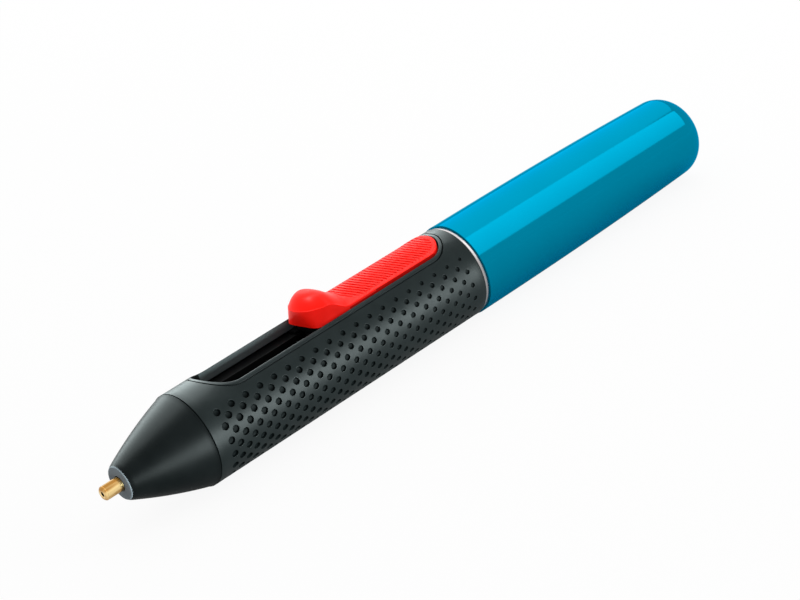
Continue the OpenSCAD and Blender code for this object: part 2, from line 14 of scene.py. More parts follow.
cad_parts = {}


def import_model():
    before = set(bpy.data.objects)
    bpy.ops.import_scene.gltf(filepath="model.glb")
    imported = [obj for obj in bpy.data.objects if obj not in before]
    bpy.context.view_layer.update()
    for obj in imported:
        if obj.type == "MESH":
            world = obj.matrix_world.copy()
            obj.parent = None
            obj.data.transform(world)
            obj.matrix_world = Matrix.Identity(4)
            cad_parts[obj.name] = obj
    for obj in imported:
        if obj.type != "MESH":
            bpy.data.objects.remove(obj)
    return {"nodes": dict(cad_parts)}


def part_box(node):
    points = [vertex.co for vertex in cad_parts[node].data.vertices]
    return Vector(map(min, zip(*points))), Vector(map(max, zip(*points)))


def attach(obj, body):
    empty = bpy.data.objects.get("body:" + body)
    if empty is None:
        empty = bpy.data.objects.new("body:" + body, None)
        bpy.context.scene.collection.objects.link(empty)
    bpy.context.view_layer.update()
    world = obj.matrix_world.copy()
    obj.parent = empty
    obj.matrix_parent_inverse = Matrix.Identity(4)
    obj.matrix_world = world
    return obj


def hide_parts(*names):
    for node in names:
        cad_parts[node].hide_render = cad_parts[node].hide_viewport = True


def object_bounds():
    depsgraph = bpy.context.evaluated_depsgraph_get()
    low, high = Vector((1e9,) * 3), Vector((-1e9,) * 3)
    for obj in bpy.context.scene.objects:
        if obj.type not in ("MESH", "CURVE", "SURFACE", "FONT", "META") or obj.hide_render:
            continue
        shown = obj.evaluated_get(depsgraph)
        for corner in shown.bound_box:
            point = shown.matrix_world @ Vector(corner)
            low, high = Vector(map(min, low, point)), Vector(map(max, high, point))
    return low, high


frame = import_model()
NODES = frame["nodes"]
cad_low, cad_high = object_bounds()

MM = 0.001

# ---------------------------------------------------------------- places taken from the frame

RING_LOW, RING_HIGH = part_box("silver_ring")
AXIS_Z = (RING_LOW.z + RING_HIGH.z) / 2
SEAM_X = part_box("grip_shell")[0].x
ORIGIN = Vector((SEAM_X, 0, AXIS_Z))


def pen_box(node):
    """Lowest and highest corner of a CAD node in the pen's own millimetres."""
    low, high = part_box(node)
    return (low - ORIGIN) / MM, (high - ORIGIN) / MM


GRIP_LOW, GRIP_HIGH = pen_box("grip_shell")
GRIP_R = GRIP_HIGH.y
GRIP_LEN = GRIP_HIGH.x
REST_Z = GRIP_LOW.z
GRIP_WALL = 1.6
BORE_R = GRIP_R - GRIP_WALL

BEZEL_LOW, BEZEL_HIGH = pen_box("slot_bezel")
BEZEL_W = 1.1
BEZEL_GAP = 0.05
SLOT_X0 = BEZEL_LOW.x + BEZEL_W - BEZEL_GAP
SLOT_X1 = BEZEL_HIGH.x - BEZEL_W + BEZEL_GAP
SLOT_W = BEZEL_HIGH.y - BEZEL_W + BEZEL_GAP
SLOT_FRONT_R = SLOT_W - 0.05
SLOT_REAR_R = SLOT_W - 1.3

CAP_LOW, CAP_HIGH = pen_box("slider_cap")
CAP_W = CAP_HIGH.y
SLIDER_GAP = SLOT_W - CAP_W

BUTTON_LOW, BUTTON_HIGH = pen_box("power_button")
BUTTON_X = (BUTTON_LOW.x + BUTTON_HIGH.x) / 2
BUTTON_R = BUTTON_HIGH.y
BUTTON_HOLE_R = BUTTON_R + 0.35
GUIDE_LOW, GUIDE_HIGH = pen_box("light_guide")
GUIDE_X = (GUIDE_LOW.x + GUIDE_HIGH.x) / 2
GUIDE_HOLE_R = GUIDE_HIGH.y + 0.1
USB_LOW, USB_HIGH = pen_box("usb_socket")
USB_GAP = 0.6
USB_X = (USB_LOW.x + USB_HIGH.x) / 2
USB_HALF_LEN = (USB_HIGH.x - USB_LOW.x) / 2 + USB_GAP
USB_W = USB_HIGH.y + USB_GAP

NOSE_LOW, NOSE_HIGH = pen_box("nose_cone")
NOSE_LEN = -NOSE_LOW.x
NOSE_R = NOSE_HIGH.y
TIP_LOW, TIP_HIGH = pen_box("nozzle_tip")
SLEEVE_LOW, SLEEVE_HIGH = pen_box("battery_sleeve")
SLEEVE_R = SLEEVE_HIGH.y

# ---------------------------------------------------------------- mesh tools

WELD = 2e-6
SLIVER = 1e-7
SAME_PLACE = 1e-6


class Piece:
    """Points and faces gathered part by part, then welded into one mesh object."""

    def __init__(self):
        self.points = []
        self.faces = []
        self.finishes = []

    def add(self, points, faces, finish=0):
        """Finish 1 or 2 gives the faces one of the further materials that build() is given."""
        first = len(self.points)
        self.finishes.extend([finish] * len(faces))
        self.points.extend(Vector(p) for p in points)
        self.faces.extend([first + i for i in face] for face in faces)

    def loft(self, rings, finish=0):
        """Skin between closed rings of equally many points."""
        n = len(rings[0])
        points = [p for ring in rings for p in ring]
        faces = []
        for i in range(len(rings) - 1):
            for j in range(n):
                k = (j + 1) % n
                faces.append((i * n + j, i * n + k, (i + 1) * n + k, (i + 1) * n + j))
        self.add(points, faces, finish)

    def refinish(self, finish, chosen):
        """Changes the finish of the faces whose centre chosen(x, y, z) picks."""
        for number, face in enumerate(self.faces):
            centre = sum((self.points[i] for i in face), Vector()) / len(face)
            if chosen(*centre):
                self.finishes[number] = finish

    def build(self, name, body, material, replaces, crease, floor_z=None, further=()):
        """Makes the object, smooth up to a crease angle, and flattened below floor_z."""
        mesh = bpy.data.meshes.new(name)
        if floor_z is not None:
            for p in self.points:
                p.z = max(p.z, floor_z)
        mesh.from_pydata([ORIGIN + p * MM for p in self.points], [], self.faces)
        mesh.polygons.foreach_set("material_index", self.finishes)
        work = bmesh.new()
        work.from_mesh(mesh)
        bmesh.ops.remove_doubles(work, verts=work.verts, dist=WELD)
        bmesh.ops.dissolve_degenerate(work, edges=work.edges, dist=SLIVER)
        bmesh.ops.recalc_face_normals(work, faces=work.faces)
        work.to_mesh(mesh)
        work.free()
        mesh.polygons.foreach_set("use_smooth", [True] * len(mesh.polygons))
        mesh.set_sharp_from_angle(angle=math.radians(crease))
        for each in (material, *further):
            mesh.materials.append(each)
        obj = bpy.data.objects.new(name, mesh)
        bpy.context.scene.collection.objects.link(obj)
        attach(obj, body)
        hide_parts(replaces)


def lerp(a, b, t):
    return a + (b - a) * t


def ramp(t):
    """0 below 0, 1 above 1, and a smooth rise between."""
    t = min(max(t, 0.0), 1.0)
    return t * t * (3 - 2 * t)


def arc(cx, cy, r, start, end, n):
    """Points of a circular arc, from angle start to angle end in degrees."""
    turn = [math.radians(lerp(start, end, i / n)) for i in range(n + 1)]
    return [(cx + r * math.cos(a), cy + r * math.sin(a)) for a in turn]


def outline(x0, x1, w, rf, rr, step=1.6, n=14):
    """Long rounded outline seen from above, with corner radii rf in front and rr behind."""
    straight = max(2, round((x1 - x0 - rf - rr) / step))
    front_flat = max(1, round(2 * (w - rf) / step))
    points = arc(x0 + rf, -(w - rf), rf, 180, 270, n)
    points += [(lerp(x0 + rf, x1 - rr, i / straight), -w) for i in range(1, straight)]
    points += arc(x1 - rr, -(w - rr), rr, 270, 360, n)
    points += arc(x1 - rr, w - rr, rr, 0, 90, n)
    points += [(lerp(x1 - rr, x0 + rf, i / straight), w) for i in range(1, straight)]
    points += arc(x0 + rf, w - rf, rf, 90, 180, n)
    points += [(x0, lerp(w - rf, -(w - rf), i / front_flat)) for i in range(1, front_flat)]
    return drop_repeats(points)


def drop_repeats(points):
    """Leaves out each point of a closed outline that lies on the one before it."""
    kept = []
    for p in points:
        if not kept or math.dist(p, kept[-1]) > SAME_PLACE:
            kept.append(p)
    if math.dist(kept[0], kept[-1]) < SAME_PLACE:
        kept.pop()
    return kept


def inside_depth(x, y, x0, x1, w, rf, rr):
    """Distance from a point to the edge of an outline() of that size, positive inside."""
    in_front = x < (x0 + x1) / 2
    r = rf if in_front else rr
    cx = x0 + rf if in_front else x1 - rr
    over_x = max(cx - x if in_front else x - cx, 0)
    over_y = abs(y) - (w - r)
    if over_y <= 0:
        return r - over_x if over_x > 0 else min(w - abs(y), r + abs(x - cx))
    if over_x <= 0:
        return r - over_y
    return r - math.hypot(over_x, over_y)


def fill(outer, holes=(), lines=(), points=()):
    """Triangles inside a closed outline but outside convex holes, through the lines and points."""
    flat, edges, owner = [], [], []
    for number, loop in enumerate([outer, *holes]):
        first = len(flat)
        flat.extend(Vector(p) for p in loop)
        owner.extend([number] * len(loop))
        edges.extend((first + i, first + (i + 1) % len(loop)) for i in range(len(loop)))
    for line in lines:
        first = len(flat)
        flat.extend(Vector(p) for p in line)
        owner.extend([-1] * len(line))
        edges.extend((first + i, first + i + 1) for i in range(len(line) - 1))
    flat.extend(Vector(p) for p in points)
    owner.extend([-1] * len(points))
    made, _, triangles, sources, _, _ = delaunay_2d_cdt(flat, edges, [], 1, SAME_PLACE)
    hole_of = [max((owner[i] for i in source), default=-1) for source in sources]
    kept = []
    for triangle in triangles:
        numbers = {hole_of[i] for i in triangle}
        if len(numbers) > 1 or max(numbers) < 1:
            kept.append(triangle)
    return [(p.x, p.y) for p in made], kept


def circle_points(cx, cy, r, n):
    """A circle of n points about (cx, cy)."""
    return [(cx + r * math.cos(2 * math.pi * i / n), cy + r * math.sin(2 * math.pi * i / n))
            for i in range(n)]


def around(x, r, n):
    """A ring of n points about the pen's axis at station x."""
    turns = [2 * math.pi * i / n for i in range(n)]
    return [(x, r * math.sin(a), r * math.cos(a)) for a in turns]


def lathe(piece, profile, n=144, closed=False, finish=0):
    """Turns (x, r) points about the pen's axis. A closed profile makes a ring-shaped piece."""
    rings = [around(x, max(r, 0.0), n) for x, r in profile]
    piece.loft(rings + rings[:1] if closed else rings, finish=finish)


def fillet(x, r, dx, dr, n):
    """Corner of a lathe profile at (x, r), rounded by a quarter ellipse of size dx by dr."""
    turn = [math.pi / 2 * i / n for i in range(n + 1)]
    return [(x + dx * (1 - math.sin(a)), r + dr * (1 - math.cos(a))) for a in turn]


# ---------------------------------------------------------------- materials

NOISE_RANGE = (0.3, 0.7)


class Shader:
    """A node material around one Principled shader, textured in the object's own space."""

    def __init__(self, name, roughness, metallic=0.0, **sockets):
        self.material = bpy.data.materials.new(name)
        self.material.use_nodes = True
        self.tree = self.material.node_tree
        self.bsdf = self.tree.nodes["Principled BSDF"]
        self.bsdf.inputs["Roughness"].default_value = roughness
        self.bsdf.inputs["Metallic"].default_value = metallic
        for socket, value in sockets.items():
            self.bsdf.inputs[socket.replace("_", " ")].default_value = value
        self.coordinates = self.node("ShaderNodeTexCoord").outputs["Object"]

    def node(self, kind, **settings):
        made = self.tree.nodes.new(kind)
        for key, value in settings.items():
            setattr(made, key, value)
        return made

    def link(self, source, target):
        self.tree.links.new(source, target)

    def noise(self, scale, detail=2.0, stretch=(1, 1, 1)):
        mapping = self.node("ShaderNodeMapping")
        mapping.inputs["Scale"].default_value = stretch
        texture = self.node("ShaderNodeTexNoise")
        texture.inputs["Scale"].default_value = scale
        texture.inputs["Detail"].default_value = detail
        self.link(self.coordinates, mapping.inputs["Vector"])
        self.link(mapping.outputs["Vector"], texture.inputs["Vector"])
        return texture.outputs["Fac"]

    def map_range(self, source, low, high, new_low, new_high):
        node = self.node("ShaderNodeMapRange")
        node.inputs["From Min"].default_value = low
        node.inputs["From Max"].default_value = high
        node.inputs["To Min"].default_value = new_low
        node.inputs["To Max"].default_value = new_high
        self.link(source, node.inputs["Value"])
        return node.outputs["Result"]

    def blend(self, factor, first, second):
        """Goes from one colour to another as the factor rises from 0 to 1."""
        node = self.node("ShaderNodeMix", data_type="RGBA")
        self.link(factor, node.inputs["Factor"])
        node.inputs["A"].default_value = (*first, 1.0)
        node.inputs["B"].default_value = (*second, 1.0)
        return node.outputs["Result"]

    def colour(self, base, mottle=0.06, scale=220.0):
        """Base colour that wanders a little."""
        darker = [c * (1 - mottle) for c in base]
        lighter = [min(c * (1 + mottle) + mottle * 0.01, 1.0) for c in base]
        spread = self.map_range(self.noise(scale), *NOISE_RANGE, 0, 1)
        self.link(self.blend(spread, darker, lighter), self.bsdf.inputs["Base Color"])
        return self

    def gloss(self, low, high, scale=90.0, stretch=(1, 1, 1)):
        """Roughness that wanders between two values, as smudges do."""
        smudge = self.noise(scale, 3.0, stretch)
        self.link(self.map_range(smudge, *NOISE_RANGE, low, high),
                  self.bsdf.inputs["Roughness"])
        return self

    def grain(self, scale, depth, stretch=(1, 1, 1), detail=2.0, rounding=0.0):
        """Moulded or brushed texture as bump, over edges rounded by a small radius."""
        bump = self.node("ShaderNodeBump")
        bump.inputs["Distance"].default_value = depth
        bump.inputs["Strength"].default_value = 1.0
        self.link(self.noise(scale, detail, stretch), bump.inputs["Height"])
        if rounding:
            bevel = self.node("ShaderNodeBevel", samples=6)
            bevel.inputs["Radius"].default_value = rounding
            self.link(bevel.outputs["Normal"], bump.inputs["Normal"])
        self.link(bump.outputs["Normal"], self.bsdf.inputs["Normal"])
        return self


def moulded(name, base, low, high, scale, depth=0.00001, rounding=0.0, **sockets):
    """Moulded or sintered material with a fine texture, its roughness between low and high."""
    shader = Shader(name, (low + high) / 2, **sockets)
    shader.colour(base).gloss(low, high).grain(scale, depth, rounding=rounding)
    return shader.material


def plated(name, base, low, high, scale=700.0, stretch=(1, 1, 1), depth=0.000006, rounding=0.0):
    """Bare or plated metal with fine scratches along one direction."""
    shader = Shader(name, (low + high) / 2, metallic=1.0)
    shader.colour(base, mottle=0.05, scale=400.0).gloss(low, high, 300.0, stretch)
    shader.grain(scale, depth, stretch, rounding=rounding)
    return shader.material


def brass_material():
    """Brass rod with paler and darker bands along it, a painted reflection of long lamps."""
    shader = Shader("brass_turned_painted_reflection", 0.25, metallic=1.0)
    drawn = shader.noise(640.0, 1.0, (0.08, 1, 1))
    # Painted reflection: streaks stretched along the rod, from dark to pale brass.
    metal = shader.blend(shader.map_range(drawn, 0.36, 0.60, 0, 1),
                         (0.50, 0.24, 0.05), (1.0, 0.74, 0.34))
    shader.link(metal, shader.bsdf.inputs["Base Color"])
    shader.gloss(0.18, 0.30, 900.0)
    shader.grain(1200.0, 0.000006, stretch=(6, 1, 1))
    return shader.material


def blue_gloss_material():
    """High-gloss blue with a faint metallic pigment, which keeps its reflections blue."""
    shader = Shader("blue_high_gloss", 0.08, metallic=0.65, Specular_IOR_Level=0.0,
                    Specular_Tint=(0.0, 0.72, 1.0, 1.0))
    shader.colour((0.0, 0.218, 0.352), mottle=0.02, scale=60.0)
    shader.gloss(0.05, 0.09, 40.0)
    shader.grain(180.0, 0.000003, detail=1.0)
    return shader.material


def cell_jacket_material(name, body, band):
    """Shrink-wrapped cell jacket with a plain coloured band near its raised end."""
    band_edge = (0.238, 0.240)
    shader = Shader(name, 0.35, metallic=0.6)
    place = shader.node("ShaderNodeTexCoord").outputs["Generated"]
    split = shader.node("ShaderNodeSeparateXYZ")
    shader.link(place, split.inputs["Vector"])
    step = shader.map_range(split.outputs["X"], *band_edge, 0, 1)
    shader.link(shader.blend(step, band, body), shader.bsdf.inputs["Base Color"])
    shader.gloss(0.28, 0.42, 150.0)
    shader.grain(900.0, 0.000006)
    return shader.material


NOSE_BLACK = moulded("nose_matt_black", (0.0012, 0.0018, 0.0019), 0.34, 0.42, 3200.0, 0.000004,
                     Specular_IOR_Level=0.05)
NOSE_FACE_GREY = moulded("nose_face_grey", (0.095, 0.105, 0.116), 0.45, 0.55, 3200.0, 0.000012,
                         Specular_IOR_Level=0.05)
GRIP_GREY = moulded("grip_soft_anthracite", (0.0026, 0.0036, 0.0037), 0.36, 0.44, 2800.0, 0.000005,
                    Specular_IOR_Level=0.075)
# Near-black for the dimples' sides and floors and for the groove beside the slot's lip: painted
# shade in these recesses.
RECESS_PAINTED_SHADE = moulded("recess_painted_shade", (0.0008, 0.0014, 0.0015), 0.50, 0.60, 2800.0, 0.000016,
                       Specular_IOR_Level=0.03)
BEZEL_GREY = moulded("bezel_satin_anthracite", (0.0030, 0.0040, 0.0042), 0.32, 0.40, 3200.0,
                     0.000004, Specular_IOR_Level=0.085)
# Lighter grey for the slot's far inner wall: painted light on the wall that the lamps light.
SLOT_WALL_PAINTED_LIGHT = moulded("slot_wall_painted_light", (0.075, 0.088, 0.091), 0.45, 0.55, 3200.0, 0.00001,
                         Specular_IOR_Level=0.10)
DEEP_BLACK = moulded("trough_satin_black", (0.0016, 0.0018, 0.0019), 0.34, 0.46, 2600.0, 0.00001,
                     rounding=0.00015, Specular_IOR_Level=0.15)
RED = moulded("slider_signal_red", (0.95, 0.009, 0.004), 0.30, 0.38, 3000.0, 0.000006,
              Specular_IOR_Level=0.09)
# Darker red for the bottoms of the pad's grooves and the cap's sides beside the slot: painted
# shade.
RED_PAINTED_SHADE = moulded("slider_groove_painted_shade", (0.48, 0.004, 0.002), 0.40, 0.50, 3000.0, 0.000006,
                    Specular_IOR_Level=0.03)
TRAY_GREY = moulded("tray_dark_grey", (0.022, 0.023, 0.025), 0.42, 0.55, 2200.0, 0.00001,
                    rounding=0.0002)
BLUE = blue_gloss_material()
BRASS = brass_material()
SILVER = plated("ring_satin_silver", (0.42, 0.40, 0.40), 0.24, 0.34, 900.0, (1, 8, 8))
STEEL = plated("zinc_plated_steel", (0.62, 0.63, 0.65), 0.26, 0.40, rounding=0.0001)
SPRING = plated("bright_spring_steel", (0.70, 0.71, 0.73), 0.18, 0.30)
NICKEL = plated("nickel_plated_strip", (0.78, 0.75, 0.66), 0.18, 0.30, rounding=0.00008)
ALUMINIUM = plated("cast_aluminium", (0.72, 0.73, 0.75), 0.35, 0.50, 500.0, depth=0.00003)
BLACK_RUBBER = moulded("silicone_matt_black", (0.020, 0.020, 0.020), 0.60, 0.75, 900.0)
RED_RUBBER = moulded("silicone_brick_red", (0.42, 0.07, 0.035), 0.55, 0.70, 900.0)
CERAMIC = moulded("sintered_ceramic", (0.45, 0.46, 0.48), 0.65, 0.80, 4000.0, 0.00002)
MICA = moulded("rolled_mica", (0.52, 0.42, 0.26), 0.40, 0.60, 600.0, 0.00002)
BOARD_GREEN = moulded("solder_mask_green", (0.012, 0.13, 0.045), 0.22, 0.34, 500.0, 0.000006)
CHIP_BLACK = moulded("component_epoxy", (0.018, 0.018, 0.019), 0.50, 0.62, 3000.0)
WIRE_RED = moulded("lead_red_silicone", (0.50, 0.03, 0.02), 0.45, 0.60, 1500.0)
WIRE_BLACK = moulded("lead_black_silicone", (0.012, 0.012, 0.012), 0.45, 0.60, 1500.0)
CLEAR = moulded("light_guide_clear", (0.90, 0.95, 0.92), 0.06, 0.14, 700.0, 0.000003,
                Transmission_Weight=1.0, IOR=1.49)
CELL_JACKET = cell_jacket_material("cell_jacket_plain", (0.30, 0.32, 0.33), (0.02, 0.16, 0.10))

# ---------------------------------------------------------------- grip

TOP, BOTTOM = 1, -1
FULL_TURN = 150
TURN_STEP = 2 * math.pi / FULL_TURN
TOP_STEPS = 20
TOP_STEPS_INSIDE = 25
STATION_STEP = 2.1
TOP_SKIN_STEP = 0.9
LOW_SKIN_STEP = 0.92
FRONT_ROUND = 0.1
REAR_ROUND = 0.4
HOLE_EDGE = 0.03
HOLE_MARGIN = 0.5

FLAT_HALF = math.sqrt(GRIP_R ** 2 - REST_Z ** 2)
FLAT_POINTS = 110
DIMPLE_PITCH = 4.297
DIMPLE_FIRST_X = 4.13
DIMPLE_COLUMNS = 37
DIMPLE_ROWS = 13
DIMPLE_TOP_ROW = 57.0
DIMPLE_ROW_STEP = 8.75
DIMPLE_R_FRONT = 0.90
DIMPLE_R_REAR = 0.60
TOP_ROW_SHRINK = 0.2
DIMPLE_DEPTH = 0.75
DIMPLE_SIDES = 22
DIMPLE_MARGIN = 0.40
BUTTON_MARGIN = 0.2
RIM = 0.17
GRID = 4


def dimple_radius(column, row):
    """Dimples get smaller to the rear, and those of the top row a little more so."""
    back = column / (DIMPLE_COLUMNS - 1)
    edge_row = 1 - TOP_ROW_SHRINK * back if row == 0 else 1.0
    return lerp(DIMPLE_R_FRONT, DIMPLE_R_REAR, back) * edge_row


def lattice():
    """Places of the dimples as (x, arc length from the bottom line, radius), on both sides of
    the pen. Those that would touch the button's hole are left out."""
    for row in range(DIMPLE_ROWS):
        angle = 180 - DIMPLE_TOP_ROW - DIMPLE_ROW_STEP * row
        for column in range(row % 2, DIMPLE_COLUMNS - row % 2, 2):
            x = DIMPLE_FIRST_X + DIMPLE_PITCH / 2 * column
            r = dimple_radius(column, row)
            for side in (-1, 1):
                s = math.radians(side * angle) * GRIP_R
                if math.hypot(x - BUTTON_X, s) > BUTTON_HOLE_R + r + RIM + BUTTON_MARGIN:
                    yield x, s, r


def on_grip(x, arc_from_bottom, depth):
    """Point in the grip, by station, arc length from the bottom line and depth."""
    a = arc_from_bottom / GRIP_R
    r = GRIP_R - depth
    return (x, -r * math.sin(a), -r * math.cos(a))


def wrap(flat, radius, side):
    """Rolls (x, arc length) points onto a cylinder, about its top or its bottom line."""
    return [(x, side * radius * math.sin(s / radius), side * radius * math.cos(s / radius))
            for x, s in flat]


def dimple(piece, x, s, r):
    """A round recess with a flat rim, a tight edge, steep sides and a hollowed floor. Its sides
    and floor are painted near-black, as painted shade.
    """
    deep = DIMPLE_DEPTH * r / DIMPLE_R_FRONT
    steps = [(r + RIM, 0.0), (r + 0.06, 0.0), (r + 0.02, 0.03), (r - 0.01, 0.15),
             (r - 0.03, 0.60), (r - 0.10, 0.85), (r * 0.5, 1.0)]
    rings = [[on_grip(px, ps, share * deep) for px, ps in circle_points(x, s, reach, DIMPLE_SIDES)]
             for reach, share in steps]
    piece.loft(rings[:4])
    # Painted shade: the steep sides and the floor take finish 1, the near-black.
    piece.loft(rings[3:], finish=1)
    n = DIMPLE_SIDES
    floor_points = [on_grip(x, s, deep * 1.04), *rings[-1]]
    piece.add(floor_points, [(0, 1 + i, 1 + (i + 1) % n) for i in range(n)], finish=1)


def grip_stations(start, end):
    """Stations shared by neighbouring sheets of the grip."""
    n = round((end - start) / STATION_STEP)
    return [lerp(start, end, i / n) for i in range(n + 1)]


def sheet_border(stations, low, high, radius):
    """Closed outline of a sheet between two angle steps, unrolled to (x, arc length)."""
    across = [k * (TURN_STEP * radius) for k in range(low, high + 1)]
    border = [(x, across[0]) for x in stations]
    border += [(stations[-1], s) for s in across[1:]]
    border += [(x, across[-1]) for x in reversed(stations[:-1])]
    border += [(stations[0], s) for s in reversed(across[1:-1])]
    return border


def spaced_points(half, stations, is_clear, step_s):
    """Loose points that keep a sheet's triangles small. They lie within half its width of its
    middle line, in places that is_clear(x, s) allows."""
    points = []
    rows = int((half + half) / step_s)
    for j in range(1, rows):
        s = -half + (half + half) * j / rows
        for x in stations[1:-1]:
            px = x + (stations[1] - stations[0]) * (0.25 if j % 2 else -0.25)
            if is_clear(px, s):
                points.append((px, s))
    return points


def cut_loop(shape, radius, side):
    """Unrolls a (x, y) outline from a cylinder, about its top or its bottom line."""
    return [(x, radius * math.asin(side * y / radius)) for x, y in shape]


def hole_wall(piece, shapes, side):
    """Broken edge and straight wall of a hole through the grip. shapes(grow) gives its outline."""
    rings = []
    for grow, drop in ((HOLE_EDGE, 0.0), (0.0, HOLE_EDGE)):
        rings.append([(x, y, side * (math.sqrt(GRIP_R ** 2 - y * y) - drop))
                      for x, y in shapes(grow)])
    rings.append([(x, y, side * math.sqrt(BORE_R ** 2 - y * y)) for x, y in shapes(0.0)])
    piece.loft(rings)


def slot_shape(grow):
    """Outline of the feed slot inside its lip, or grown from it."""
    return outline(SLOT_X0 - grow, SLOT_X1 + grow, SLOT_W + grow, SLOT_FRONT_R + grow,
                   SLOT_REAR_R + grow)


def lip_shape(grow):
    """Outline of the opening in the grip that the slot's lip sits in."""
    return slot_shape(BEZEL_W + grow)


def guide_hole(grow):
    return circle_points(GUIDE_X, 0, GUIDE_HOLE_R + grow, 24)


def button_hole(grow):
    return circle_points(BUTTON_X, 0, BUTTON_HOLE_R + grow, 48)


def socket_hole(grow):
    corner = 0.5 + grow
    return outline(USB_X - USB_HALF_LEN - grow, USB_X + USB_HALF_LEN + grow, USB_W + grow,
                   corner, corner, n=5)


BOTTOM_HOLES = (guide_hole, button_hole, socket_hole)


def top_skin(piece, stations):
    """Outer skin over the top, around the feed slot."""
    border = sheet_border(stations, -TOP_STEPS, TOP_STEPS, GRIP_R)
    loop = cut_loop(lip_shape(HOLE_EDGE), GRIP_R, TOP)
    half = TOP_STEPS * TURN_STEP * GRIP_R
    reach_x = BEZEL_W + 0.9
    reach_s = max(s for _, s in loop) + 0.45

    def clear_of_slot(x, s):
        return not (SLOT_X0 - reach_x < x < SLOT_X1 + reach_x and abs(s) < reach_s)

    extra = spaced_points(half, stations, clear_of_slot, TOP_SKIN_STEP)
    flat, triangles = fill(border, [loop], points=extra)
    piece.add(wrap(flat, GRIP_R, TOP), triangles)


def clear_of_holes(dimples):
    """Makes a test for whether a place on the lower skin keeps off its dimples and holes."""
    round_ones = [(x, s, r + DIMPLE_MARGIN) for x, s, r in dimples]
    round_ones += [(BUTTON_X, 0, BUTTON_HOLE_R + HOLE_MARGIN),
                   (GUIDE_X, 0, GUIDE_HOLE_R + HOLE_MARGIN)]
    by_place = {}
    for x, s, r in round_ones:
        for i in range(int((x - r) // GRID), int((x + r) // GRID) + 1):
            for j in range(int((s - r) // GRID), int((s + r) // GRID) + 1):
                by_place.setdefault((i, j), []).append((x, s, r))

    def is_clear(x, s):
        near = by_place.get((int(x // GRID), int(s // GRID)), [])
        over_socket = (abs(x - USB_X) < USB_HALF_LEN + HOLE_MARGIN
                       and abs(s) < USB_W + HOLE_MARGIN)
        return not over_socket and all(math.hypot(x - cx, s - cs) > r for cx, cs, r in near)

    return is_clear


def lower_skin(piece, stations):
    """Outer skin over the sides and the underside, with the dimples and the resting flat."""
    low = TOP_STEPS - FULL_TURN // 2
    dimples = list(lattice())
    loops = [cut_loop(shape(HOLE_EDGE), GRIP_R, BOTTOM) for shape in BOTTOM_HOLES]
    loops += [circle_points(x, s, r + RIM, DIMPLE_SIDES) for x, s, r in dimples]
    is_clear = clear_of_holes(dimples)
    extra = spaced_points(-low * TURN_STEP * GRIP_R, stations, is_clear, LOW_SKIN_STEP)
    flat_s = GRIP_R * math.asin(FLAT_HALF / GRIP_R)
    flat_edge = [(lerp(stations[0], stations[-1], i / FLAT_POINTS), side * flat_s)
                 for i in range(1, FLAT_POINTS) for side in (-1, 1)]
    extra += [p for p in flat_edge if is_clear(*p)]
    flat, triangles = fill(sheet_border(stations, low, -low, GRIP_R), loops, points=extra)
    piece.add(wrap(flat, GRIP_R, BOTTOM), triangles)
    for x, s, r in dimples:
        dimple(piece, x, s, r)


def inner_skin(piece, stations):
    """Bore of the grip, in an upper and a lower sheet."""
    border = sheet_border(stations, -TOP_STEPS_INSIDE, TOP_STEPS_INSIDE, BORE_R)
    flat, triangles = fill(border, [cut_loop(lip_shape(0.0), BORE_R, TOP)])
    piece.add(wrap(flat, BORE_R, TOP), triangles)
    low = TOP_STEPS_INSIDE - FULL_TURN // 2
    border = sheet_border(stations, low, -low, BORE_R)
    flat, triangles = fill(border, [cut_loop(shape(0.0), BORE_R, BOTTOM)
                                    for shape in BOTTOM_HOLES])
    piece.add(wrap(flat, BORE_R, BOTTOM), triangles)


def grip():
    """The dimpled shell, open at both ends, at the slot and at three holes underneath."""
    piece = Piece()
    stations = grip_stations(FRONT_ROUND, GRIP_LEN - REAR_ROUND)
    top_skin(piece, stations)
    lower_skin(piece, stations)
    inner_skin(piece, grip_stations(0.0, GRIP_LEN))
    hole_wall(piece, lip_shape, TOP)
    for shape in BOTTOM_HOLES:
        hole_wall(piece, shape, BOTTOM)
    for x, inward, reach in ((0.0, 1, FRONT_ROUND), (GRIP_LEN, -1, REAR_ROUND)):
        profile = fillet(x, GRIP_R, inward * reach, -reach, 3)
        profile.append((x, BORE_R))
        piece.loft([around(px, r, FULL_TURN) for px, r in profile])
    # The further material is the painted shade in the dimples.
    piece.build("grip", "pen_body", GRIP_GREY, "grip_shell", 28.0, REST_Z,
                [RECESS_PAINTED_SHADE])


def bezel():
    """The lip around the feed slot, flush with the grip, with a fine groove between them. The
    wall on the far side is painted lighter, as painted light, and the walls of the groove are
    painted near-black, as painted shade."""
    outer = BEZEL_W - BEZEL_GAP
    section = [(outer, None), (outer, 0.62), (outer - 0.24, 0.50), (outer - 0.24, 0.03),
               (outer - 0.27, 0.0), (outer - 0.45, 0.0), (BEZEL_W / 2, 0.0), (0.24, 0.0),
               (0.12, 0.02), (0.03, 0.09), (0.0, 0.22), (0.0, None)]
    rings = []
    for grow, drop in section:
        ring = []
        for x, y in slot_shape(grow):
            z = BEZEL_LOW.z if drop is None else math.sqrt(GRIP_R ** 2 - y * y) - drop
            ring.append((x, y, z))
        rings.append(ring)
    piece = Piece()
    # Painted light: the inner wall on the far side takes the lighter grey, and the rest keeps the
    # lip's own colour.
    piece.loft(rings[-2:], finish=1)
    piece.refinish(0, lambda x, y, z: y < SLOT_W - 0.5)
    # Painted shade: the walls of the groove between lip and grip take the near-black.
    piece.loft(rings[:4], finish=2)
    piece.loft(rings[3:-1])
    piece.loft([rings[-1], rings[0]])
    piece.build("slot_lip", "pen_body", BEZEL_GREY, "slot_bezel", 28.0,
                further=[SLOT_WALL_PAINTED_LIGHT, RECESS_PAINTED_SHADE])


# ---------------------------------------------------------------- slider

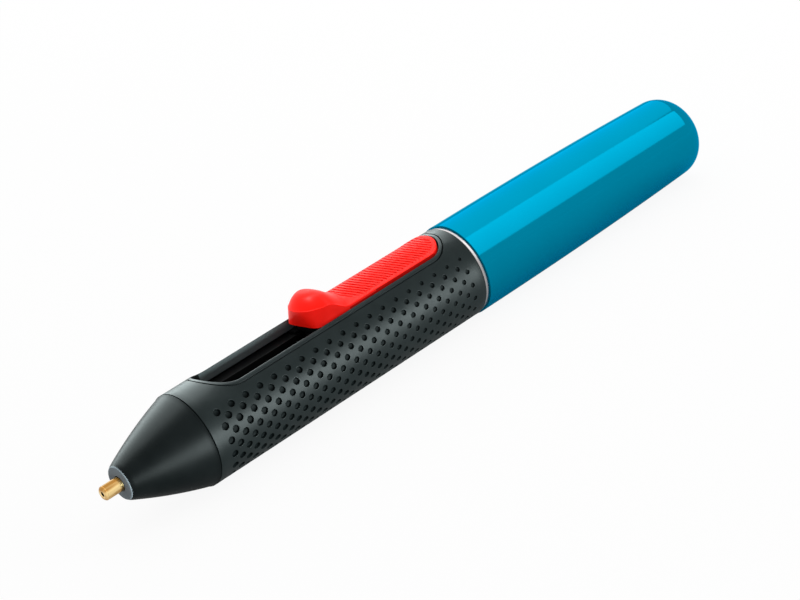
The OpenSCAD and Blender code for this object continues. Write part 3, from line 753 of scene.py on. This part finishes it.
CREASE_Z = 13.0
CREASE_LEN = 5.5
CROWN_TOP_Z = CAP_HIGH.z
FRONT_LEAN = 0.4
BLOCK_X = CAP_LOW.x + CREASE_LEN
FALL_X = CAP_LOW.x + 4.8
PAD_X = CAP_LOW.x + 12.5
PAD_BOW = 1.7
PAD_R_FRONT = 12.3
PAD_R_REAR = 12.2
CAP_REAR_R = SLOT_REAR_R - SLIDER_GAP
BORDER = 0.7
RECESS = (CAP_LOW.x + 10.9, CAP_HIGH.x - 1.1, CAP_W - BORDER, CAP_W - BORDER - 1.2,
          CAP_REAR_R - BORDER)
RECESS_DROP = 0.08
RECESS_EDGE = 0.3
RECESS_START = 1.4
RECESS_RISE = 1.2
GROOVE_DEPTH = 0.38
GROOVE_W = 0.50
GROOVE_SLOPE = 0.14
RIDGE_PITCH = 1.1
RIDGE_BOW = 14.0
RIDGE_STEPS = 26
CAP_EDGE = 0.2


def cap_ring(inset, square):
    """Outline of the slider cap. Its front goes from an ellipse at the crown's edge (square 0)
    to a leaning, rounded box at the foot (square 1)."""
    power = 2 / lerp(2.0, 5.0, square)
    reach = CREASE_LEN - FRONT_LEAN * square - inset
    half = CAP_W - inset
    steps = 44
    ring = []
    for i in range(steps + 1):
        a = math.pi * i / steps
        across, ahead = math.cos(a), math.sin(a)
        ring.append((BLOCK_X - reach * abs(ahead) ** power,
                     math.copysign(half * abs(across) ** power, across)))
    r = CAP_REAR_R - inset
    corner_x, corner_y = CAP_HIGH.x - inset - r, half - r
    ring += [(lerp(BLOCK_X, corner_x, i / steps), -half) for i in range(1, steps)]
    ring += arc(corner_x, -corner_y, r, 270, 360, 14)
    ring += [(corner_x + r, 0.0)]
    ring += arc(corner_x, corner_y, r, 0, 90, 14)
    ring += [(lerp(corner_x, BLOCK_X, i / steps), half) for i in range(1, steps)]
    return ring


def groove(x, y):
    """1 in the bottom of a groove between ridges and 0 on a ridge, which bows to the nozzle."""
    place = (x - y * y / RIDGE_BOW - RECESS[0]) % RIDGE_PITCH
    return min(max(min(place, GROOVE_W - place) / GROOVE_SLOPE, 0.0), 1.0)


def slope_foot(y):
    """Where the thumb block's rear slope ends on the pad."""
    return PAD_X - PAD_BOW * (y / CAP_W) ** 2


def cap_height(x, y):
    """Height of the slider's top: a pillow-shaped thumb block that hollows down to a ridged pad."""
    along = min(max((x - PAD_X) / (CAP_HIGH.x - PAD_X), 0.0), 1.0)
    pad = math.sqrt(lerp(PAD_R_FRONT, PAD_R_REAR, along) ** 2 - y * y)
    edge = min(math.hypot(max(BLOCK_X - x, 0.0) / CREASE_LEN, y / CAP_W), 1.0)
    crown = CREASE_Z + (CROWN_TOP_Z - CREASE_Z) * (1 - edge ** 3)
    foot = slope_foot(y)
    t = min(max((x - FALL_X) / (foot - FALL_X), 0.0), 1.0)
    z = pad + (crown - pad) * (0.5 + 0.5 * math.cos(math.pi * t))
    recess = (ramp(inside_depth(x, y, *RECESS) / RECESS_EDGE)
              * ramp((x - foot + RECESS_START) / RECESS_RISE))
    return z - recess * (RECESS_DROP + GROOVE_DEPTH * groove(x, y))


def ridge_edges():
    """Lines along both edges of each slope of each groove, clipped to the recess."""
    lines = []
    count = int((RECESS[1] - RECESS[0]) / RIDGE_PITCH) + 1
    for number in range(-4, count):
        for part in (0.0, GROOVE_SLOPE, GROOVE_W - GROOVE_SLOPE, GROOVE_W):
            start = RECESS[0] + number * RIDGE_PITCH + part
            line = []
            for i in range(-RIDGE_STEPS, RIDGE_STEPS + 1):
                y = RECESS[2] * i / RIDGE_STEPS
                x = start + y * y / RIDGE_BOW
                if inside_depth(x, y, *RECESS) > 0.02:
                    line.append((x, y))
                elif len(line) > 1:
                    lines.append(line)
                    line = []
            if len(line) > 1:
                lines.append(line)
    return lines


def in_painted_shade(x, y, z):
    """Whether a place on the cap gets painted shade: in the bottom of a groove or beside the feed
    slot's wall.
    """
    if x < PAD_X - PAD_BOW:
        return False
    in_groove = groove(x, y) > 0.45 and inside_depth(x, y, *RECESS) > 0.1
    rim_z = math.sqrt(PAD_R_REAR ** 2 - CAP_W ** 2)
    side_band, side_drop = 0.3, 0.16
    return in_groove or (abs(y) > CAP_W - side_band and z < rim_z - side_drop)


def block_points():
    """Loose points on the thumb block's top, ahead of the recess and inside the cap's edge."""
    points = []
    rows, columns = 30, 36
    for j in range(1, rows):
        y = lerp(-CAP_W, CAP_W, j / rows)
        front = CAP_LOW.x + CREASE_LEN * (1 - math.sqrt(1 - (y / CAP_W) ** 2))
        for i in range(columns):
            x = lerp(front, RECESS[0] - 0.2, (i + 0.5) / columns)
            if x > front + CAP_EDGE + 0.12 and abs(y) < CAP_W - CAP_EDGE - 0.2:
                points.append((x, y))
    return points


def cap_sides(border):
    """Rings from the edge of the cap's top, over its rounding, down to its foot."""
    top = [cap_height(x, y) for x, y in border]
    rings = []
    for inset, drop in ((CAP_EDGE, 0.0), (0.10, 0.03), (0.03, 0.10), (0.0, 0.22)):
        rings.append([(x, y, z - drop) for (x, y), z in zip(cap_ring(inset, 0.0), top)])
    upper, foot = rings[-1], cap_ring(0.0, 1.0)
    for share in (0.33, 0.67, 1.0):
        rings.append([(lerp(a[0], b[0], share), lerp(a[1], b[1], share),
                       lerp(a[2], CAP_LOW.z, share)) for a, b in zip(upper, foot)])
    return rings


def slider_cap():
    """Thumb block and ridged pad in one moulding, with a flat underside."""
    piece = Piece()
    border = cap_ring(CAP_EDGE, 0.0)
    loops = [outline(RECESS[0] + d, RECESS[1] - d, RECESS[2] - d, RECESS[3] - d, RECESS[4] - d,
                     step=0.8) for d in (0.0, RECESS_EDGE)]
    lines = [loop + loop[:1] for loop in loops] + ridge_edges()
    flat, triangles = fill(border, lines=lines, points=block_points())
    piece.add([(x, y, cap_height(x, y)) for x, y in flat], triangles)
    piece.loft(cap_sides(border))
    under, faces = fill(cap_ring(0.0, 1.0))
    piece.add([(x, y, CAP_LOW.z) for x, y in under], faces)
    # Painted shade: groove bottoms and the sides beside the slot take the darker red.
    piece.refinish(1, in_painted_shade)
    piece.build("thumb_slider", "slider", RED, "slider_cap", 32.0,
                further=[RED_PAINTED_SHADE])


# ---------------------------------------------------------------- nose, nozzle, ring and sleeve

NOSE_FACE_R = 4.3
NOSE_BULGE = 0.5
NOSE_WALL = 1.4
NOSE_HOLE_R = 1.87
NOSE_SEAT_R = 2.75
SEAT_DEPTH = 0.7
SEAM_GAP = 0.24
SPIGOT_LEN = NOSE_HIGH.x
SPIGOT_R = BORE_R - 0.1
SPIGOT_WALL = 0.9


def nose_radius(t):
    """Radius of the bulging cone at share t of its length."""
    return NOSE_FACE_R + (NOSE_R - NOSE_FACE_R) * t + 4 * NOSE_BULGE * t * (1 - t)


def nose():
    """Hollow nose cone with a flat front face, and a spigot that sits in the grip."""
    steps, rim_steps, inner_steps = 30, 5, 12
    face = -NOSE_LEN
    round_r, round_stretch = 0.38, 1.08
    front_wall, shoulder = 1.5, 1.6
    mouth = [(face + front_wall, NOSE_SEAT_R), (face + SEAT_DEPTH, NOSE_SEAT_R),
             (face + SEAT_DEPTH, NOSE_HOLE_R), (face + 0.05, NOSE_HOLE_R),
             (face, NOSE_HOLE_R + 0.04)]
    rim = [mouth[-1], (face, NOSE_FACE_R - round_r)]
    lean = math.radians(16)
    for i in range(1, rim_steps + 1):
        a = (math.pi / 2 - lean) * i / rim_steps
        rim.append((face + round_r * (1 - math.cos(a)),
                    NOSE_FACE_R - round_r + round_r * math.sin(a) * round_stretch))
    side = rim[-1:]
    for i in range(1, steps):
        t = i / steps
        if t * NOSE_LEN > round_r * 1.2:
            side.append((face + t * NOSE_LEN, nose_radius(t)))
    side += [(-SEAM_GAP - 0.09, NOSE_R), (-SEAM_GAP - 0.03, NOSE_R - 0.02),
             (-SEAM_GAP, NOSE_R - 0.08), (-SEAM_GAP, SPIGOT_R), (SPIGOT_LEN, SPIGOT_R),
             (SPIGOT_LEN, SPIGOT_R - SPIGOT_WALL), (-shoulder, SPIGOT_R - SPIGOT_WALL)]
    for i in range(inner_steps, -1, -1):
        x = front_wall + (NOSE_LEN - front_wall - shoulder) * i / inner_steps
        side.append((face + x, nose_radius(x / NOSE_LEN) - NOSE_WALL))
    side.append(mouth[0])
    piece = Piece()
    lathe(piece, mouth)
    lathe(piece, rim, finish=1)
    lathe(piece, side)
    piece.build("nose", "pen_body", NOSE_BLACK, "nose_cone", 30.0, REST_Z,
                [NOSE_FACE_GREY])


def nozzle():
    """Brass tip with a chamfered mouth, a fine turned line and a wider seat in the nose."""
    tip_r, outlet_r = 1.75, 0.62
    mouth, seat = TIP_LOW.x, -NOSE_LEN + SEAT_DEPTH + 0.03
    outlet = [(mouth + 3.0, 0.0), (mouth + 3.0, outlet_r), (mouth + 0.10, outlet_r)]
    profile = [outlet[-1], (mouth, outlet_r + 0.10), (mouth, tip_r - 0.42),
               (mouth + 0.04, tip_r - 0.34), (mouth + 0.32, tip_r - 0.06), (mouth + 0.44, tip_r)]
    profile += [(mouth + 0.6, tip_r), (mouth + 0.66, tip_r - 0.03), (mouth + 0.72, tip_r),
                (seat - 0.1, tip_r), (seat, tip_r - 0.08), (seat, TIP_HIGH.y),
                (TIP_HIGH.x, TIP_HIGH.y), (TIP_HIGH.x, 0.0)]
    piece = Piece()
    # Painted shade: the outlet's bore takes the trough's near-black.
    lathe(piece, outlet, 96, finish=1)
    lathe(piece, profile, 96)
    piece.build("nozzle", "pen_body", BRASS, "nozzle_tip", 30.0, further=[DEEP_BLACK])


def trim_ring():
    """Silver ring with rounded edges between grip and sleeve."""
    x0, x1 = (corner.x for corner in pen_box("silver_ring"))
    r = RING_HIGH.y / MM
    bore = SPIGOT_R + 0.05
    profile = [(x0, bore), (x0, r - 0.12), (x0 + 0.04, r - 0.03), (x0 + 0.14, r),
               (x1 - 0.14, r), (x1 - 0.04, r - 0.03), (x1, r - 0.12), (x1, bore)]
    piece = Piece()
    lathe(piece, profile, closed=True)
    piece.build("trim_ring", "pen_body", SILVER, "silver_ring", 35.0)


SLEEVE_TAPER = 1.3
SLEEVE_TAPER_POWER = 2.3
SLEEVE_STEPS = 24
SLEEVE_WALL = 1.3
SLEEVE_ROUND = 7.4
SLEEVE_END_R = 8.0


def sleeve_side(start_r, length, end_r):
    """Side line of the sleeve from its open end to the middle of its closed end."""
    x0 = SLEEVE_LOW.x
    side = [(x0 + t * (length - SLEEVE_ROUND), start_r - SLEEVE_TAPER * t ** SLEEVE_TAPER_POWER)
            for t in [i / SLEEVE_STEPS for i in range(SLEEVE_STEPS + 1)]]
    for i in range(1, SLEEVE_STEPS + 1):
        a = math.pi / 2 * i / SLEEVE_STEPS
        side.append((x0 + length - SLEEVE_ROUND * (1 - math.sin(a)),
                     start_r - SLEEVE_TAPER - end_r * (1 - math.cos(a))))
    return side


def sleeve():
    """Battery sleeve, open at the grip and closed by a rounded end, with a flat to rest on."""
    length = SLEEVE_HIGH.x - SLEEVE_LOW.x
    x0 = SLEEVE_LOW.x
    edge = 0.05
    bore_r = SLEEVE_R - SLEEVE_WALL
    outer = sleeve_side(SLEEVE_R, length, SLEEVE_END_R)
    inner = sleeve_side(bore_r, length - SLEEVE_WALL - 0.3, SLEEVE_END_R - SLEEVE_WALL)
    lip = [(x0, bore_r + 0.1), (x0, SLEEVE_R - edge), (x0 + edge * 0.3, SLEEVE_R - edge * 0.3),
           (x0 + edge, SLEEVE_R), (x0 + edge + 0.06, SLEEVE_R)]
    profile = [(inner[-1][0], 0.0), *reversed(inner[1:]), (x0 + 0.1, bore_r), *lip,
               *outer[1:], (SLEEVE_HIGH.x, 0.0)]
    piece = Piece()
    lathe(piece, profile, 192)
    piece.build("sleeve", "battery_sleeve", BLUE, "battery_sleeve", 35.0, REST_Z)


def button():
    """Push button in the underside, with a dished face for the finger."""
    piece = Piece()
    face, ears = BUTTON_LOW.z, BUTTON_HIGH.z
    sides = 64
    r = BUTTON_R

    def disc(z, radius):
        return [(x, y, z) for x, y in circle_points(BUTTON_X, 0, radius, sides)]

    rings = [disc(face + 0.34, 0.0), disc(face + 0.32, 0.8), disc(face + 0.24, 1.6),
             disc(face + 0.10, 2.4), disc(face + 0.02, 2.8), disc(face, r - 0.4),
             disc(face + 0.04, r - 0.16), disc(face + 0.16, r - 0.03), disc(face + 0.3, r),
             disc(ears - 0.15, r), disc(ears - 0.15, 1.2), disc(ears, 1.2), disc(ears, 0.0)]
    piece.loft(rings)
    piece.build("push_button", "power_button", RED, "power_button", 30.0)


def cell(name, node):
    """A plain AA cell: raised contact, crimped shoulder and wrapped jacket."""
    low, high = pen_box(node)
    r, axis = high.y, (low.z + high.z) / 2
    x0, x1 = low.x, high.x
    profile = [(x0, 0.0), (x0, 2.55), (x0 + 0.15, 2.75), (x0 + 1.0, 2.75), (x0 + 1.0, 5.9),
               (x0 + 0.85, 6.2), (x0 + 0.9, 6.6), (x0 + 1.1, 7.0), (x0 + 1.5, r), (x1 - 0.5, r),
               (x1 - 0.15, r - 0.2), (x1 - 0.05, r - 0.6), (x1 - 0.2, r - 1.0), (x1, r - 1.5),
               (x1, 0.0)]
    piece = Piece()
    rings = [[(x, y, z + axis) for x, y, z in around(px, pr, 72)] for px, pr in profile]
    piece.loft(rings)
    piece.build(name, "pen_body", CELL_JACKET, node, 35.0)


CAD_FINISHES = {
    "tip_seal": BLACK_RUBBER, "melt_tube": ALUMINIUM, "ptc_heaters": CERAMIC,
    "heater_clip": SPRING, "heat_shield": MICA, "stick_seal": RED_RUBBER,
    "feed_trough": DEEP_BLACK, "lower_frame": DEEP_BLACK, "frame_screws": STEEL,
    "slider_carriage": DEEP_BLACK, "slider_screws": STEEL, "sleeve_seal": BLACK_RUBBER,
    "battery_tray": TRAY_GREY, "front_contact": NICKEL, "rear_contact": NICKEL,
    "battery_spring": SPRING, "return_strip": NICKEL, "circuit_board": BOARD_GREEN,
    "board_parts": CHIP_BLACK, "usb_socket": NICKEL, "touch_switch": CHIP_BLACK,
    "light_guide": CLEAR, "heater_leads": WIRE_RED, "battery_leads": WIRE_BLACK,
}


def finish_cad_nodes():
    """Gives each CAD node that keeps its solid a material of its own kind."""
    for name, material in CAD_FINISHES.items():
        for slot in NODES[name].material_slots:
            slot.material = material


# ---------------------------------------------------------------- stage


def white_to_camera(tree, plain, camera_share, mirror_share):
    """Mixes plain white into a shader, by one share for camera rays and by another for
    mirror and see-through rays."""
    rays = tree.nodes.new("ShaderNodeLightPath")
    white = tree.nodes.new("ShaderNodeEmission")
    shader = plain
    for share, kind in ((mirror_share, "Is Transmission Ray"), (mirror_share, "Is Glossy Ray"),
                        (camera_share, "Is Camera Ray")):
        factor = tree.nodes.new("ShaderNodeMath")
        factor.operation = "MULTIPLY"
        factor.inputs[1].default_value = share
        mix = tree.nodes.new("ShaderNodeMixShader")
        tree.links.new(rays.outputs[kind], factor.inputs[0])
        tree.links.new(factor.outputs[0], mix.inputs["Fac"])
        tree.links.new(shader, mix.inputs[1])
        tree.links.new(white.outputs["Emission"], mix.inputs[2])
        shader = mix.outputs["Shader"]
    return shader


def floor():
    """Plain white floor, just below the part."""
    mesh = bpy.data.meshes.new("floor")
    reach, gap = 6.0, 0.00005
    z = cad_low.z - gap
    corners = [(-reach, -reach, z), (reach, -reach, z), (reach, reach, z), (-reach, reach, z)]
    mesh.from_pydata(corners, [], [(0, 1, 2, 3)])
    material = bpy.data.materials.new("floor_white")
    material.use_nodes = True
    tree = material.node_tree
    bsdf = tree.nodes["Principled BSDF"]
    bsdf.inputs["Base Color"].default_value = (0.9, 0.9, 0.9, 1.0)
    bsdf.inputs["Roughness"].default_value = 0.9
    bsdf.inputs["Specular IOR Level"].default_value = 0.0
    output = tree.nodes["Material Output"]
    shader = white_to_camera(tree, bsdf.outputs["BSDF"], camera_share=0.92, mirror_share=0.2)
    tree.links.new(shader, output.inputs["Surface"])
    mesh.materials.append(material)
    obj = bpy.data.objects.new("floor", mesh)
    bpy.context.scene.collection.objects.link(obj)


def world():
    """Even white surroundings, dimmer for the object than for the camera."""
    made = bpy.data.worlds.new("studio")
    made.use_nodes = True
    bpy.context.scene.world = made
    tree = made.node_tree
    ambient = tree.nodes["Background"]
    ambient.inputs["Color"].default_value = (1.0, 1.0, 1.0, 1.0)
    ambient.inputs["Strength"].default_value = 0.65
    output = tree.nodes["World Output"]
    shader = white_to_camera(tree, ambient.outputs["Background"], camera_share=1.0,
                             mirror_share=1.0)
    tree.links.new(shader, output.inputs["Surface"])


LAMP_DISTANCE = 0.8


def softbox(name, start, end, levels, x, length, colour=(1, 1, 1)):
    """A soft light along the pen. It spans two angles, measured from straight up towards the
    viewer's side, and its radiance runs between two levels from its start to its end."""
    a = math.radians((start + end) / 2)
    width = 2 * LAMP_DISTANCE * math.tan(math.radians(end - start) / 2)
    data = bpy.data.lights.new(name, "AREA")
    data.shape = "RECTANGLE"
    data.size = length
    data.size_y = width
    data.color = colour
    data.energy = math.pi * width * length
    data.use_nodes = True
    nodes, links = data.node_tree.nodes, data.node_tree.links
    split = nodes.new("ShaderNodeSeparateXYZ")
    level = nodes.new("ShaderNodeMapRange")
    level.inputs["To Max"].default_value, level.inputs["To Min"].default_value = levels
    links.new(nodes.new("ShaderNodeNewGeometry").outputs["Parametric"], split.inputs["Vector"])
    links.new(split.outputs["Y"], level.inputs["Value"])
    links.new(level.outputs["Result"], nodes["Emission"].inputs["Strength"])
    obj = bpy.data.objects.new(name, data)
    bpy.context.scene.collection.objects.link(obj)
    back = Vector((0, -math.sin(a), math.cos(a)))
    along = Vector((1, 0, 0))
    up = back.cross(along)
    turn = Matrix((along, up, back)).transposed().to_4x4()
    place = Vector((x, 0, AXIS_Z)) + back * LAMP_DISTANCE
    obj.matrix_world = Matrix.Translation(place) @ turn
    return obj


def aim(lights, pieces, include):
    """Lets lights reach only some pieces, or all but these."""
    for light in lights:
        group = bpy.data.collections.new(light.name + "_receivers")
        for name in pieces:
            group.objects.link(bpy.data.objects[name])
        light.light_linking.receiver_collection = group
        for entry in group.collection_objects:
            entry.light_linking.link_state = "INCLUDE" if include else "EXCLUDE"


def through_floor(light):
    """Lets a light shine up through the floor. It is then sampled from its own side only,
    because the rays that mirror off a surface still end at the floor."""
    group = bpy.data.collections.new(light.name + "_blockers")
    group.objects.link(bpy.data.objects["floor"])
    light.light_linking.blocker_collection = group
    for entry in group.collection_objects:
        entry.light_linking.link_state = "EXCLUDE"
    light.data.cycles.use_multiple_importance_sampling = False


def camera():
    """Camera at the photograph's viewing angle."""
    data = bpy.data.cameras.new("camera")
    data.sensor_width = 36.0
    data.lens = 102.22
    obj = bpy.data.objects.new("camera", data)
    bpy.context.scene.collection.objects.link(obj)
    azimuth, elevation = math.radians(-124.07), math.radians(20.62)
    roll = math.radians(-18.97)
    distance = 0.55394
    target = Vector((-0.0056, -0.000147, AXIS_Z + 0.001292))
    back = Vector((math.cos(elevation) * math.cos(azimuth),
                   math.cos(elevation) * math.sin(azimuth), math.sin(elevation)))
    level = (-back).cross(Vector((0, 0, 1))).normalized()
    lift = level.cross(-back).normalized()
    right = math.cos(roll) * level + math.sin(roll) * lift
    up = right.cross(-back).normalized()
    turn = Matrix((right, up, back)).transposed().to_4x4()
    obj.matrix_world = Matrix.Translation(target + back * distance) @ turn
    bpy.context.scene.camera = obj


def lamps():
    """Two large lamps for all but the black pieces, two for these, and two for the slider.

    The last four are far above the plain level of the first two. They give the photograph's
    tones on pieces whose colour is written much darker than it renders.
    """
    over = [softbox("key_far", -75, 13, (1.25, 0.9), 0.65, 0.85),
            softbox("key_near", 13.3, 66, (1.85, 1.15), 0.65, 0.85)]
    cool = (0.86, 1.0, 1.0)
    low = [softbox("rim_far", -78, 0, (10.0, 12.5), 0.17, 1.1, cool),
           softbox("rim_near", 84, 112, (38.0, 24.0), 0.17, 1.1, cool)]
    glints = [softbox("glint", -20, -6, (6.0, 6.0), 0.1, 0.8),
              softbox("thumb_glint", -21, -9, (40.0, 40.0), -0.2, 0.16)]
    through_floor(low[1])
    blacks = ["grip", "slot_lip", "nose"]
    aim(over, blacks, False)
    aim(low, blacks, True)
    aim(glints, ["thumb_slider"], True)


camera()
grip()
bezel()
slider_cap()
nose()
nozzle()
trim_ring()
sleeve()
button()
cell("front_cell", "cell_front")
cell("back_cell", "cell_rear")
finish_cad_nodes()
floor()
world()
lamps()
bpy.context.scene.view_settings.view_transform = "Standard"
